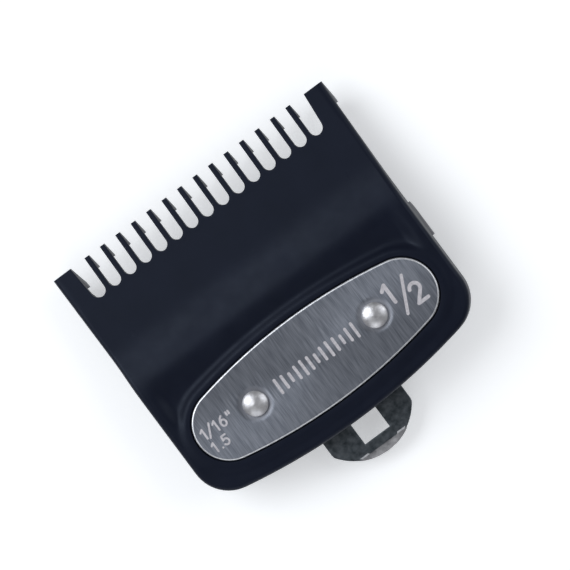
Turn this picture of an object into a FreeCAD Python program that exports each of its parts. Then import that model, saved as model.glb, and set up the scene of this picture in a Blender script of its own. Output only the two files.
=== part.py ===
import FreeCAD, Part
import math
import os
import re
import Sketcher
from FreeCAD import Vector

# A clipper guard comb: a moulded plastic comb that slips over a clipper blade, a steel
# name plate let into its back, and a spring steel clip held by two rivets.
# X runs across the teeth, +Y towards their tips, +Z out of the name plate. The ears
# stand on Z = 0 and the tips lie at Y = tip_y. A "back" is a distance behind the tips.

os.makedirs("parts", exist_ok=True)
doc = FreeCAD.newDocument("clipper_guard_comb")

# ---------------------------------------------------------------- driving dimensions
SIZES = {
    # the comb body, seen from above
    "tip_y": 25.0,
    "tip_half": 25.0,
    "side_half": 24.65,
    "side_back": 17.0,
    "body_back": 43.5,
    "corner_back": 35.69,
    "corner_half": 19.8,
    "corner_radius": 6.0,
    "rear_sag": 1.92,
    "rear_radius": 103.0,
    # the comb body, seen from the side
    "seat": 5.0,
    "tip_under": 4.6,
    "tip_top": 5.5,
    "rise_back": 13.1,
    "rise_top": 7.2,
    "swell_back": 17.1,
    "swell_top": 8.05,
    "swell_in": 15.0,
    "crown_back": 21.2,
    "crown_top": 9.05,
    "crown_radius": 9.2,
    "rear_round": 0.7,
    # teeth
    "tooth_pitch": 2.884,
    "slot_half": 1.04,
    "slot_back": 6.15,
    "end_tip_half": 21.8,
    "end_root_half": 21.4,
    "hook_back": 2.35,
    "hook_low": 2.55,
    "fin_back": 3.85,
    "fin_low": 1.3,
    "fin_foot": 0.9,
    # the thumb scoop in front of the plate
    "scoop_half": 23.4,
    "scoop_front": 21.2,
    "scoop_rear": 29.6,
    "scoop_radius": 11.6,
    # the blade side: hollow, ribs, clip notch, ears
    "hollow_half": 20.6,
    "hollow_front": 17.0,
    "hollow_rear": 40.7,
    "ceiling": 6.9,
    "rib_inner": 17.0,
    "rib_wide": 1.0,
    "notch_half": 8.0,
    "notch_front": 38.6,
    "notch_top": 7.75,
    "ear_inner": 23.4,
    "ear_thin": 24.2,
    "ear_outer": 24.65,
    "ear_front": 22.1,
    "ear_slope": 1.2,
    "ear_step": 28.2,
    "ear_rear": 34.6,
    "ear_root": 6.6,
    # name plate and its seat
    "plate_back": 32.5,
    "plate_half_long": 21.6,
    "plate_half_wide": 7.2,
    "plate_end_radius": 5.56,
    "plate_floor": 8.7,
    "plate_thick": 0.8,
    "plate_bevel": 0.22,
    "plate_gap": 0.25,
    "rim_wide": 0.9,
    "rim_low": 8.0,
    "rim_top": 9.3,
    # rivets
    "rivet_half_gap": 11.05,
    "shank_radius": 1.1,
    "head_radius": 1.97,
    "head_side": 0.3,
    "head_rise": 0.95,
    "head_dome": 3.31,
    "head_flat": 0.3,
    "tail_radius": 1.8,
    "tail_high": 0.8,
    # spring clip
    "sheet": 0.6,
    "leaf_half": 14.0,
    "leaf_front": 28.4,
    "leaf_shoulder": 36.4,
    "leaf_corner": 2.0,
    "flex_back": 39.3,
    "flex_play": 0.02,
    "tab_half": 7.3,
    "riser_back": 42.1,
    "bend": 0.9,
    "tab_top": 3.3,
    "fold_back": 48.7,
    "lip_drop": 0.55,
    "tab_shoulder": 46.1,
    "tab_back": 50.0,
    "tab_round": 8.78,
    "window_half": 2.3,
    "window_front": 42.4,
    "window_rear": 47.2,
    "catch_half": 2.1,
    "catch_top": 2.6,
    "catch_front": 40.4,
}

sheet = doc.addObject("Spreadsheet::Sheet", "Sizes")
for row, (alias, number) in enumerate(SIZES.items(), start=1):
    sheet.set(f"A{row}", alias)
    sheet.set(f"B{row}", str(number))
    sheet.setAlias(f"B{row}", alias)
doc.recompute()


# ------------------------------------------------------------------------- helpers
def value_of(formula):
    """Works out a sum of cells and numbers, such as 'tip_y - 7*tooth_pitch + 0.3'."""
    total = 0.0
    sign = 1.0
    for term in formula.split():
        if term in ("+", "-"):
            sign = 1.0 if term == "+" else -1.0
        else:
            amount = sign
            for word in term.split("*"):
                amount *= SIZES[word] if word in SIZES else float(word)
            total += amount
    return total


def bound(formula):
    """The same sum as a FreeCAD expression that reads the spreadsheet."""
    return re.sub(r"[a-z_]+", lambda found: "Sizes." + found.group(0), formula)


def back(formula):
    """The Y of a place given as a distance behind the tooth tips."""
    return "tip_y - " + formula


def origin_plane(body, role):
    for feature in body.Origin.OriginFeatures:
        if feature.Role == role:
            return feature
    raise ValueError(role)


def new_sketch(body, name, role, offset="0"):
    """A sketch on an origin plane of its own body, moved along the plane's normal."""
    drawn = body.newObject("Sketcher::SketchObject", name)
    drawn.AttachmentSupport = [(origin_plane(body, role), "")]
    drawn.MapMode = "FlatFace"
    drawn.setExpression("AttachmentOffset.Base.z", bound(offset))
    return drawn


def arc_between(start, end, radius, left):
    """The arc of less than half a turn from start to end, with its centre on the given side."""
    chord = end - start
    reach = math.sqrt(max(radius ** 2 - (chord.Length / 2) ** 2, 0.0))
    normal = Vector(-chord.y, chord.x, 0).normalize()
    centre = (start + end) * 0.5 + normal * (reach if left else -reach)
    middle_way = normal * (-radius if left else radius)
    return Part.Arc(start, centre + middle_way, end)


def draw_loop(drawn, corners):
    """A closed loop. A corner is (x, y) with a line to the next corner, or
    (x, y, radius, left) with an arc to it. All places and radii are bound."""
    first = drawn.GeometryCount
    count = len(corners)
    places = [Vector(value_of(corner[0]), value_of(corner[1]), 0) for corner in corners]
    for index, corner in enumerate(corners):
        start = places[index]
        end = places[(index + 1) % count]
        if len(corner) == 2:
            drawn.addGeometry(Part.LineSegment(start, end))
        else:
            drawn.addGeometry(arc_between(start, end, value_of(corner[2]), corner[3]))
    for index, corner in enumerate(corners):
        edge = first + index
        start_end, far_end = ends_of(drawn, edge, places[index])
        following = first + (index + 1) % count
        next_start = ends_of(drawn, following, places[(index + 1) % count])[0]
        drawn.addConstraint(Sketcher.Constraint("Coincident", edge, far_end, following, next_start))
        pin_point(drawn, edge, start_end, corner[0], corner[1])
        if len(corner) == 4:
            pin_radius(drawn, edge, corner[2])


def ends_of(drawn, edge, start):
    """Which end of an edge lies at start, then the other one (an arc may be stored turned round)."""
    if drawn.getPoint(edge, 1).distanceToPoint(start) < drawn.getPoint(edge, 2).distanceToPoint(start):
        return 1, 2
    return 2, 1


def pin_point(drawn, edge, end, across, along):
    for kind, formula in (("DistanceX", across), ("DistanceY", along)):
        index = drawn.addConstraint(Sketcher.Constraint(kind, edge, end, value_of(formula)))
        drawn.setExpression(f"Constraints[{index}]", bound(formula))


def pin_radius(drawn, edge, formula):
    index = drawn.addConstraint(Sketcher.Constraint("Radius", edge, value_of(formula)))
    drawn.setExpression(f"Constraints[{index}]", bound(formula))


def negative(formula):
    """The same sum with every sign turned round."""
    return " ".join({"+": "-", "-": "+"}.get(word, word) for word in ("0 + " + formula).split())


def mirrored(corners):
    """The loop on the other side of the Y axis; an arc keeps its place but bends the other way."""
    turned = []
    for corner in corners:
        if len(corner) == 2:
            turned.append((negative(corner[0]), corner[1]))
        else:
            turned.append((negative(corner[0]), corner[1], corner[2], not corner[3]))
    return turned


def box_loop(left, low, right, high):
    return [(left, low), (right, low), (right, high), (left, high)]


def extrude(body, kind, name, drawn, **options):
    """A Pad or Pocket of a sketch, whose numbers come as sums of cells."""
    feature = body.newObject("PartDesign::" + kind, name)
    feature.Profile = drawn
    for option, value in options.items():
        if isinstance(value, str) and option.startswith("Length"):
            feature.setExpression(option, bound(value))
        else:
            setattr(feature, option, value)
    doc.recompute()
    return feature


def new_body(name):
    body = doc.addObject("PartDesign::Body", name)
    body.Label = name
    body.Placement = FreeCAD.Placement()
    return body


def plate_loop(drawn, gap):
    """The plate's outline grown by gap: two flat arcs joined by two tight ones, all tangent."""
    long_half = SIZES["plate_half_long"]
    wide_half = SIZES["plate_half_wide"]
    end_radius = SIZES["plate_end_radius"]
    reach = long_half - end_radius
    side_radius = (reach ** 2 + wide_half ** 2 - end_radius ** 2) / (2 * (wide_half - end_radius))
    side_rule = (
        "((Sizes.plate_half_long - Sizes.plate_end_radius)^2 + Sizes.plate_half_wide^2"
        " - Sizes.plate_end_radius^2) / (2 * (Sizes.plate_half_wide - Sizes.plate_end_radius))"
    )
    grow = value_of(gap)
    centre_y = value_of("tip_y - plate_back")
    lean = math.atan2(reach, side_radius - wide_half)
    up = math.pi / 2
    side = Vector(0, 0, 1)
    right = Part.Circle(Vector(reach, centre_y, 0), side, end_radius + grow)
    top = Part.Circle(Vector(0, centre_y + wide_half - side_radius, 0), side, side_radius + grow)
    left = Part.Circle(Vector(-reach, centre_y, 0), side, end_radius + grow)
    bottom = Part.Circle(Vector(0, centre_y - wide_half + side_radius, 0), side, side_radius + grow)
    turns = [
        (right, lean - up, up - lean),
        (top, up - lean, up + lean),
        (left, up + lean, 3 * up - lean),
        (bottom, 3 * up - lean, 3 * up + lean),
    ]
    for circle, start, end in turns:
        drawn.addGeometry(Part.ArcOfCircle(circle, start, end))
    for edge in range(4):
        drawn.addConstraint(Sketcher.Constraint("Tangent", edge, 2, (edge + 1) % 4, 1))
    for edge, reach_formula in (
        (0, "plate_half_long - plate_end_radius"),
        (2, "plate_end_radius - plate_half_long"),
    ):
        pin_point(drawn, edge, 3, reach_formula, "tip_y - plate_back")
        pin_radius(drawn, edge, "plate_end_radius + " + gap)
    for edge in (1, 3):
        index = drawn.addConstraint(Sketcher.Constraint("Radius", edge, side_radius + grow))
        drawn.setExpression(f"Constraints[{index}]", f"{side_rule} + {bound(gap)}")


def draw_hole(drawn, across, along, radius):
    """A circle with its centre and radius bound."""
    centre = Vector(value_of(across), value_of(along), 0)
    edge = drawn.addGeometry(Part.Circle(centre, Vector(0, 0, 1), value_of(radius)))
    pin_point(drawn, edge, 3, across, along)
    pin_radius(drawn, edge, radius)


def edges_at(feature, height):
    """The names of a feature's edges that lie level at one height."""
    names = []
    for index, edge in enumerate(feature.Shape.Edges, start=1):
        if abs(edge.BoundBox.ZMin - height) < 1e-6 and abs(edge.BoundBox.ZMax - height) < 1e-6:
            names.append(f"Edge{index}")
    return names


# ----------------------------------------------------------------------- comb body
comb = new_body("comb_body")

# Side view of the whole moulding, carried across its width: tooth hook, flat
# front, swell up to the crown, level back, and the flat face the blade lies on.
profile = new_sketch(comb, "comb_side", "YZ_Plane")
draw_loop(profile, [
    (back("hook_back"), "seat"),
    (back("hook_back"), "hook_low"),
    ("tip_y", "tip_under"),
    ("tip_y", "tip_top"),
    (back("rise_back"), "rise_top", "swell_in", False),
    (back("swell_back"), "swell_top", "crown_radius", True),
    (back("crown_back"), "crown_top"),
    ("tip_y - body_back + rear_round", "crown_top", "rear_round", True),
    (back("body_back"), "crown_top - rear_round"),
    (back("body_back"), "seat"),
])
extrude(comb, "Pad", "comb_block", profile, SideType="Symmetric", Length="tip_half + tip_half")

# Hooks under the two end teeth, deeper than those of the small teeth.
for side, face in (("left", "0 - tip_half"), ("right", "end_tip_half")):
    fin = new_sketch(comb, f"fin_{side}", "YZ_Plane", face)
    draw_loop(fin, [
        ("tip_y", "tip_under"),
        (back("fin_back"), "seat + 0.4"),
        (back("fin_back"), "fin_low"),
        ("tip_y - fin_back + fin_foot", "fin_low"),
    ])
    extrude(comb, "Pad", f"fin_pad_{side}", fin, Length="tip_half - end_tip_half")

# Plan view: slightly narrower behind the teeth, round rear corners, bowed rear edge.
plan = new_sketch(comb, "comb_plan", "XY_Plane")
draw_loop(plan, box_loop("-30", "-30", "30", "30"))
draw_loop(plan, [
    ("tip_half", "tip_y"),
    ("0 - tip_half", "tip_y"),
    ("0 - side_half", back("side_back")),
    ("0 - side_half", back("corner_back"), "corner_radius", True),
    ("0 - corner_half", "tip_y - body_back + rear_sag", "rear_radius", True),
    ("corner_half", "tip_y - body_back + rear_sag", "corner_radius", True),
    ("side_half", back("corner_back")),
    ("side_half", back("side_back")),
])
extrude(comb, "Pocket", "comb_trim", plan, Type="ThroughAll", SideType="Symmetric")

# The end slots are wider than the rest: each end tooth leans back from its tip.
flare = new_sketch(comb, "end_slots", "XY_Plane")
end_slot = [
    ("7*tooth_pitch", "tip_y + 1"),
    ("7*tooth_pitch", back("slot_back"), "end_root_half - 7*tooth_pitch", False),
    ("end_root_half", "tip_y - slot_back + end_root_half - 7*tooth_pitch"),
    ("end_tip_half", "tip_y + 1"),
]
draw_loop(flare, end_slot)
draw_loop(flare, mirrored(end_slot))
extrude(comb, "Pocket", "end_slots_cut", flare, Type="ThroughAll", SideType="Symmetric")

# One slot with a round bottom, repeated across the comb.
slot = new_sketch(comb, "tooth_slot", "XY_Plane")
draw_loop(slot, [
    ("slot_half - 7*tooth_pitch", "tip_y + 1"),
    ("0 - slot_half - 7*tooth_pitch", "tip_y + 1"),
    ("0 - slot_half - 7*tooth_pitch", "tip_y - slot_back + slot_half", "slot_half", True),
    ("0 - 7*tooth_pitch", back("slot_back"), "slot_half", True),
    ("slot_half - 7*tooth_pitch", "tip_y - slot_back + slot_half"),
])
slot_cut = extrude(comb, "Pocket", "tooth_slot_cut", slot, Type="ThroughAll", SideType="Symmetric")
slots = comb.newObject("PartDesign::LinearPattern", "tooth_slots")
slots.Originals = [slot_cut]
slots.Direction = (slot, ["H_Axis"])
slots.setExpression("Length", "14 * Sizes.tooth_pitch")
slots.Occurrences = 15
comb.Tip = slots
doc.recompute()

# Thumb scoop across the back, stopping short of both sides.
scoop = new_sketch(comb, "scoop_side", "YZ_Plane")
draw_loop(scoop, [
    (back("scoop_front"), "crown_top", "scoop_radius", False),
    (back("scoop_rear"), "crown_top"),
    (back("scoop_rear"), "crown_top + 1"),
    (back("scoop_front"), "crown_top + 1"),
])
extrude(comb, "Pocket", "scoop_cut", scoop, SideType="Symmetric", Length="scoop_half + scoop_half")

# Raised rim round the name plate, and the seat that the plate drops into.
rim = new_sketch(comb, "plate_rim", "XY_Plane", "rim_low")
plate_loop(rim, "plate_gap + rim_wide")
extrude(comb, "Pad", "plate_rim_pad", rim, Length="rim_top - rim_low")
seat = new_sketch(comb, "plate_seat", "XY_Plane", "rim_top")
plate_loop(seat, "plate_gap")
extrude(comb, "Pocket", "plate_seat_cut", seat, Length="rim_top - plate_floor")

# Hollow under the back, with two stiffening ribs, and the notch the clip comes out of.
hollow = new_sketch(comb, "hollow_plan", "XY_Plane", "seat - 1")
draw_loop(hollow, box_loop("0 - hollow_half", back("hollow_rear"), "hollow_half", back("hollow_front")))
extrude(comb, "Pocket", "hollow_cut", hollow, Reversed=True, Length="ceiling - seat + 1")
rib = new_sketch(comb, "rib_plan", "XY_Plane", "seat")
for low, high in (("rib_inner", "rib_inner + rib_wide"), ("0 - rib_inner - rib_wide", "0 - rib_inner")):
    draw_loop(rib, box_loop(low, "tip_y - hollow_rear - 0.3", high, "tip_y - hollow_front + 0.3"))
extrude(comb, "Pad", "rib_pad", rib, Length="ceiling - seat + 0.3")
notch = new_sketch(comb, "notch_plan", "XY_Plane", "seat - 1")
draw_loop(notch, box_loop("0 - notch_half", "tip_y - body_back - 1", "notch_half", back("notch_front")))
extrude(comb, "Pocket", "notch_cut", notch, Reversed=True, Length="notch_top - seat + 1")

# Ears that hang down on both sides and take the blade between them. A cheek makes the
# front part of each ear thicker, flush with the side of the comb.
for name, inner, outer, rear in (
    ("ear", "ear_inner", "ear_thin", "ear_rear"),
    ("cheek", "ear_thin", "ear_outer", "ear_step"),
):
    for side, face in (("left", f"0 - {outer}"), ("right", inner)):
        ear = new_sketch(comb, f"{name}_{side}", "YZ_Plane", face)
        draw_loop(ear, [
            (back("ear_front"), "ear_root"),
            (back(rear), "ear_root"),
            (back(rear), "0"),
            ("tip_y - ear_front - ear_slope", "0"),
            (back("ear_front"), "ear_slope"),
        ])
        extrude(comb, "Pad", f"{name}_pad_{side}", ear, Length=f"{outer} - {inner}")

# Rivet holes through the plate seat.
bores = new_sketch(comb, "rivet_holes", "XY_Plane", "plate_floor")
for across in ("rivet_half_gap", "0 - rivet_half_gap"):
    draw_hole(bores, across, back("plate_back"), "shank_radius")
extrude(comb, "Pocket", "rivet_holes_cut", bores, Type="ThroughAll", SideType="Symmetric")


# ---------------------------------------------------------------------- name plate
plate = new_body("name_plate")
face = new_sketch(plate, "plate_outline", "XY_Plane", "plate_floor")
plate_loop(face, "0")
blank = extrude(plate, "Pad", "plate_blank", face, Length="plate_thick")
bevel = plate.newObject("PartDesign::Chamfer", "plate_edge")
bevel.Base = (blank, edges_at(blank, value_of("plate_floor + plate_thick")))
bevel.setExpression("Size", "Sizes.plate_bevel")
doc.recompute()
plate_holes = new_sketch(plate, "plate_holes", "XY_Plane", "plate_floor")
for across in ("rivet_half_gap", "0 - rivet_half_gap"):
    draw_hole(plate_holes, across, back("plate_back"), "shank_radius")
extrude(plate, "Pocket", "plate_holes_cut", plate_holes, Type="ThroughAll", SideType="Symmetric")


# -------------------------------------------------------------------------- rivets
# A domed head on the plate, a shank through plate, comb and clip, and a set tail.
for side, across in (("left", "0 - rivet_half_gap"), ("right", "rivet_half_gap")):
    rivet = new_body(f"rivet_{side}")
    turned = new_sketch(rivet, f"rivet_{side}_half", "XZ_Plane")
    draw_loop(turned, [
        ("0", "ceiling - sheet - tail_high"),
        ("tail_radius", "ceiling - sheet - tail_high"),
        ("tail_radius", "ceiling - sheet"),
        ("shank_radius", "ceiling - sheet"),
        ("shank_radius", "plate_floor + plate_thick"),
        ("head_radius", "plate_floor + plate_thick"),
        ("head_radius", "plate_floor + plate_thick + head_side", "head_dome", True),
        ("head_flat", "plate_floor + plate_thick + head_rise"),
        ("0", "plate_floor + plate_thick + head_rise"),
    ])
    spun = rivet.newObject("PartDesign::Revolution", f"rivet_{side}_turned")
    spun.Profile = turned
    spun.ReferenceAxis = (turned, ["V_Axis"])
    spun.Angle = 360
    rivet.setExpression("Placement.Base.x", bound(across))
    rivet.setExpression("Placement.Base.y", bound(back("plate_back")))


# ----------------------------------------------------------------------- clip leaf
# The riveted half of the spring clip. Its rear end is hollowed to take the tongue's
# rounded end, and the tongue turns there: the steel bends along this line.
leaf = new_body("clip_leaf")
leaf_plan = new_sketch(leaf, "leaf_plan", "XY_Plane", "ceiling - sheet")
draw_loop(leaf_plan, [
    ("leaf_half - leaf_corner", back("leaf_front")),
    ("0 - leaf_half + leaf_corner", back("leaf_front"), "leaf_corner", True),
    ("0 - leaf_half", "tip_y - leaf_front - leaf_corner"),
    ("0 - leaf_half", back("leaf_shoulder")),
    ("0 - tab_half", "tip_y - leaf_shoulder - leaf_corner"),
    ("0 - tab_half", back("flex_back")),
    ("tab_half", back("flex_back")),
    ("tab_half", "tip_y - leaf_shoulder - leaf_corner"),
    ("leaf_half", back("leaf_shoulder")),
    ("leaf_half", "tip_y - leaf_front - leaf_corner", "leaf_corner", True),
])
extrude(leaf, "Pad", "leaf_sheet", leaf_plan, Length="sheet")
socket = new_sketch(leaf, "leaf_socket", "YZ_Plane")
draw_hole(socket, back("flex_back"), "ceiling - 0.5*sheet", "0.5*sheet + flex_play")
extrude(leaf, "Pocket", "leaf_socket_cut", socket, Type="ThroughAll", SideType="Symmetric")
leaf_holes = new_sketch(leaf, "leaf_holes", "XY_Plane", "ceiling")
for across in ("rivet_half_gap", "0 - rivet_half_gap"):
    draw_hole(leaf_holes, across, back("plate_back"), "shank_radius")
extrude(leaf, "Pocket", "leaf_holes_cut", leaf_holes, Type="ThroughAll", SideType="Symmetric")


# --------------------------------------------------------------------- clip tongue
# The springing half: down behind the blade, out to a thumb tab with a square window,
# and a short catch that hooks forward under the blade's heel.
tongue = new_body("clip_tongue")
bent = new_sketch(tongue, "tongue_side", "YZ_Plane")
draw_loop(bent, [
    (back("flex_back"), "ceiling"),
    ("tip_y - riser_back + bend", "ceiling", "bend", True),
    (back("riser_back"), "ceiling - bend"),
    (back("riser_back"), "tab_top + bend - sheet", "bend - sheet", False),
    ("tip_y - riser_back - bend + sheet", "tab_top"),
    (back("fold_back"), "tab_top"),
    (back("tab_back"), "tab_top - lip_drop"),
    (back("tab_back"), "tab_top - lip_drop - sheet"),
    (back("fold_back"), "tab_top - sheet"),
    ("tip_y - riser_back + sheet - bend", "tab_top - sheet", "bend", True),
    ("tip_y - riser_back + sheet", "tab_top - sheet + bend"),
    ("tip_y - riser_back + sheet", "ceiling - bend", "bend - sheet", False),
    ("tip_y - riser_back + bend", "ceiling - sheet"),
    (back("flex_back"), "ceiling - sheet", "0.5*sheet", True),
    ("tip_y - flex_back + 0.5*sheet", "ceiling - 0.5*sheet", "0.5*sheet", True),
])
extrude(tongue, "Pad", "tongue_sheet", bent, SideType="Symmetric", Length="tab_half + tab_half")
catch = new_sketch(tongue, "catch_side", "YZ_Plane")
draw_loop(catch, [
    (back("catch_front"), "catch_top"),
    ("tip_y - riser_back + sheet", "catch_top"),
    ("tip_y - riser_back + sheet", "catch_top + bend + 0.1"),
    (back("riser_back"), "catch_top + bend + 0.1"),
    (back("riser_back"), "catch_top - sheet"),
    (back("catch_front"), "catch_top - sheet"),
])
extrude(tongue, "Pad", "catch_pad", catch, SideType="Symmetric", Length="catch_half + catch_half")
tab = new_sketch(tongue, "tab_plan", "XY_Plane")
draw_loop(tab, box_loop("-12", "-30", "12", "0"))
draw_loop(tab, [
    ("tab_half", "tip_y - flex_back + 2"),
    ("0 - tab_half", "tip_y - flex_back + 2"),
    ("0 - tab_half", back("tab_shoulder"), "tab_round", True),
    ("tab_half", back("tab_shoulder")),
])
extrude(tongue, "Pocket", "tab_trim", tab, Type="ThroughAll", SideType="Symmetric")
window = new_sketch(tongue, "window_plan", "XY_Plane")
draw_loop(window, box_loop("0 - window_half", back("window_rear"), "window_half", back("window_front")))
extrude(tongue, "Pocket", "window_cut", window, Type="ThroughAll", SideType="Symmetric")

doc.recompute()

# ------------------------------------------------------------------ check and write
for item in doc.Objects:
    faults = [word for word in item.State if word in ("Invalid", "Error")]
    if faults:
        raise RuntimeError(f"{item.Name} failed: {faults}")
nodes = [comb, plate, leaf, tongue] + [doc.getObject("rivet_left"), doc.getObject("rivet_right")]
for node in nodes:
    solid = node.Shape
    if solid.isNull() or not solid.isValid() or len(solid.Solids) != 1:
        raise RuntimeError(f"{node.Label} is not one valid solid")
    solid.exportStep(f"parts/{node.Label}.step")
    box = solid.BoundBox
    print(f"{node.Label}: {solid.Volume:.1f} mm3, z {box.ZMin:.2f} to {box.ZMax:.2f}, "
          f"y {box.YMin:.2f} to {box.YMax:.2f}, x {box.XMin:.2f} to {box.XMax:.2f}")
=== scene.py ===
import bmesh
import bpy
import math
import numpy as np
from mathutils import Matrix, Vector


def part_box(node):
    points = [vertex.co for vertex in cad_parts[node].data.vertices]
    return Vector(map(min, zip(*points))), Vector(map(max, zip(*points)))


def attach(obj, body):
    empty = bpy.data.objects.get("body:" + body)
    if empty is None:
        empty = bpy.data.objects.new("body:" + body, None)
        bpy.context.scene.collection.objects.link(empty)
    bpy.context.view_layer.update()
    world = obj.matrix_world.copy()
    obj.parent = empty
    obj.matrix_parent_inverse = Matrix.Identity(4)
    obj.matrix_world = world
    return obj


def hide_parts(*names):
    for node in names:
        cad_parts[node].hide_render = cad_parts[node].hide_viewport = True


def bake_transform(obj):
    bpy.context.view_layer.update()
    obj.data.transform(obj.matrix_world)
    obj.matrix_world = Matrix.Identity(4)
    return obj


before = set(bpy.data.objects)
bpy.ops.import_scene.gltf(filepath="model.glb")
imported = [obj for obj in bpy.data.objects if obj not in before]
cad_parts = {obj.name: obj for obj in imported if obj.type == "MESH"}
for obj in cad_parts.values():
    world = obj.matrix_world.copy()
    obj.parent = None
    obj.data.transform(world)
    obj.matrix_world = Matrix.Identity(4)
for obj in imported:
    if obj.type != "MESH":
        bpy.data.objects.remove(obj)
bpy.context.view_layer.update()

# =============================================================== the plastic comb
# One moulding in blue-black nylon: fifteen slots between short teeth, a crown, a thumb
# scoop, and a raised rim round the seat of the name plate. Below it is hollow, with
# two ribs and two ears, and a notch at the rear lets the clip out. Sizes are in mm.
MM = 0.001
COMB_LOW, COMB_HIGH = (np.array(corner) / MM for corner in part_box("comb_body"))
PLATE_LOW, PLATE_HIGH = (np.array(corner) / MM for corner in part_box("name_plate"))
TIP_Y = COMB_HIGH[1]
REAR_Y = COMB_LOW[1]
TIP_HALF = COMB_HIGH[0]
SIDE_HALF = 24.65
TAPER_END_Y = TIP_Y - 17.0
CORNER_RADIUS = 6.0
REAR_RADIUS = 103.0
SEAT_Z = 5.0
TIP_TOP_Z = 5.5
TIP_UNDER_Z = 4.6
CROWN_Z = 9.05
RIM_Z = COMB_HIGH[2]
PLATE_FLOOR_Z = PLATE_LOW[2]
EDGE_ROUND = 0.75

PLATE_HALF_LONG = PLATE_HIGH[0]
PLATE_HALF_WIDE = (PLATE_HIGH[1] - PLATE_LOW[1]) / 2
PLATE_Y = (PLATE_HIGH[1] + PLATE_LOW[1]) / 2
PLATE_END_RADIUS = 5.56
PLATE_GAP = 0.25

REACH = PLATE_HALF_LONG - PLATE_END_RADIUS
PLATE_SIDE_RADIUS = (REACH ** 2 + PLATE_HALF_WIDE ** 2 - PLATE_END_RADIUS ** 2) / (
    2 * (PLATE_HALF_WIDE - PLATE_END_RADIUS))
LEAN = math.atan2(REACH, PLATE_SIDE_RADIUS - PLATE_HALF_WIDE)


def smooth(value):
    """Rises from 0 to 1 as value goes from 0 to 1, level at both ends: 6t^5 - 15t^4 + 10t^3."""
    t = np.clip(value, 0.0, 1.0)
    return t * t * t * (t * (6.0 * t - 15.0) + 10.0)


def plate_outline(turn, grow):
    """A point of the plate's outline, grown by grow, where the outward normal points at turn:
    the centre of that stretch's arc plus its radius along the normal. Returns point and normal."""
    normal = np.stack([np.cos(turn), np.sin(turn)], -1)
    on_end = np.abs(normal[..., 1]) < math.cos(LEAN)
    radius = np.where(on_end, PLATE_END_RADIUS, PLATE_SIDE_RADIUS) + grow
    centre_x = np.where(on_end, REACH * np.sign(normal[..., 0]), 0.0)
    side_y = (PLATE_HALF_WIDE - PLATE_SIDE_RADIUS) * np.sign(normal[..., 1])
    centre_y = PLATE_Y + np.where(on_end, 0.0, side_y)
    centre = np.stack([centre_x, centre_y], -1)
    return centre + normal * radius[..., None], normal


def plate_distance(x, y):
    """How far outside the plate's outline a place lies: its distance from the nearer arc's
    centre less that arc's radius. Both halves are mirror images, so x and |y| are folded."""
    fold_x, fold_y = np.abs(x), np.abs(y - PLATE_Y)
    on_end = np.arctan2(fold_x - REACH, fold_y) > LEAN
    from_end = np.hypot(fold_x - REACH, fold_y) - PLATE_END_RADIUS
    from_side = np.hypot(fold_x, fold_y + PLATE_SIDE_RADIUS - PLATE_HALF_WIDE) - PLATE_SIDE_RADIUS
    return np.where(on_end, from_end, from_side)


CORNER_X = SIDE_HALF - CORNER_RADIUS
REAR_CENTRE_Y = REAR_Y + REAR_RADIUS
CORNER_Y = REAR_CENTRE_Y - math.sqrt((REAR_RADIUS - CORNER_RADIUS) ** 2 - CORNER_X ** 2)


def side_at(y):
    """Half the comb's width at y: it narrows in a straight line from the tips to the crown."""
    return TIP_HALF + (SIDE_HALF - TIP_HALF) * np.clip((TIP_Y - y) / (TIP_Y - TAPER_END_Y), 0, 1)


def edge_distance(x, y):
    """How far inside the comb's sides and rear edge a place lies: the least of its distances
    to the straight side, to the bowed rear edge, and, outside the corner's centre, to its arc."""
    from_side = side_at(y) - np.abs(x)
    from_rear = REAR_RADIUS - np.hypot(x, y - REAR_CENTRE_Y)
    across, along = np.abs(x) - CORNER_X, CORNER_Y - y
    from_corner = CORNER_RADIUS - np.hypot(across, along)
    lean = CORNER_X / (REAR_CENTRE_Y - CORNER_Y)
    in_corner = (across > lean * along) & (along > 0)
    return np.where(in_corner, from_corner, np.minimum(from_side, from_rear))


# The back's height along the comb is the running sum of its slope: a gentle one over the
# teeth, a steep swell in front of the crown, and none behind it. Places along the comb are
# measured back from the tooth tips.
GENTLE_SLOPE, GENTLE_END, GENTLE_FADE = 0.118, 17.0, 7.0
SWELL_START, SWELL_RISE, SWELL_END, SWELL_FADE = 12.4, 5.6, 16.8, 6.6
SCOOP_START, SCOOP_LONG, SCOOP_DEEP = 20.0, 11.0, 0.70
SCOOP_HALF, SCOOP_FADE = 20.9, 2.7
RIM_WIDE, RIM_FADE = 0.35, 1.9

back_table = np.linspace(0.0, 50.0, 2001)
gentle_slope = GENTLE_SLOPE * (1.0 - smooth((back_table - GENTLE_END) / GENTLE_FADE))
swell_slope = (smooth((back_table - SWELL_START) / SWELL_RISE)
               * (1.0 - smooth((back_table - SWELL_END) / SWELL_FADE)))
step = back_table[1] - back_table[0]
swell_share = (CROWN_Z - TIP_TOP_Z - gentle_slope.sum() * step) / (swell_slope.sum() * step)
height_table = TIP_TOP_Z + np.cumsum(gentle_slope + swell_share * swell_slope) * step


def top_height(x, y):
    """The height of the comb's upper face: the running sum of the slope, less the thumb scoop
    (a sine hump along the comb that fades out at both sides), then drawn up to the rim near
    the plate, and less a quarter round of EDGE_ROUND at the outer edge."""
    back = TIP_Y - y
    level = np.interp(back, back_table, height_table)
    along = np.clip((back - SCOOP_START) / SCOOP_LONG, 0.0, 1.0)
    across = 1.0 - smooth((np.abs(x) - SCOOP_HALF) / SCOOP_FADE)
    level = level - SCOOP_DEEP * np.sin(math.pi * along) ** 2 * across
    outside = plate_distance(x, y) - PLATE_GAP
    rim = 1.0 - smooth((outside - RIM_WIDE) / RIM_FADE)
    level = level + (RIM_Z - level) * rim
    inset = np.clip(EDGE_ROUND - edge_distance(x, y), 0.0, EDGE_ROUND)
    return level - (EDGE_ROUND - np.sqrt(np.maximum(EDGE_ROUND ** 2 - inset ** 2, 0.0)))


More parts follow.
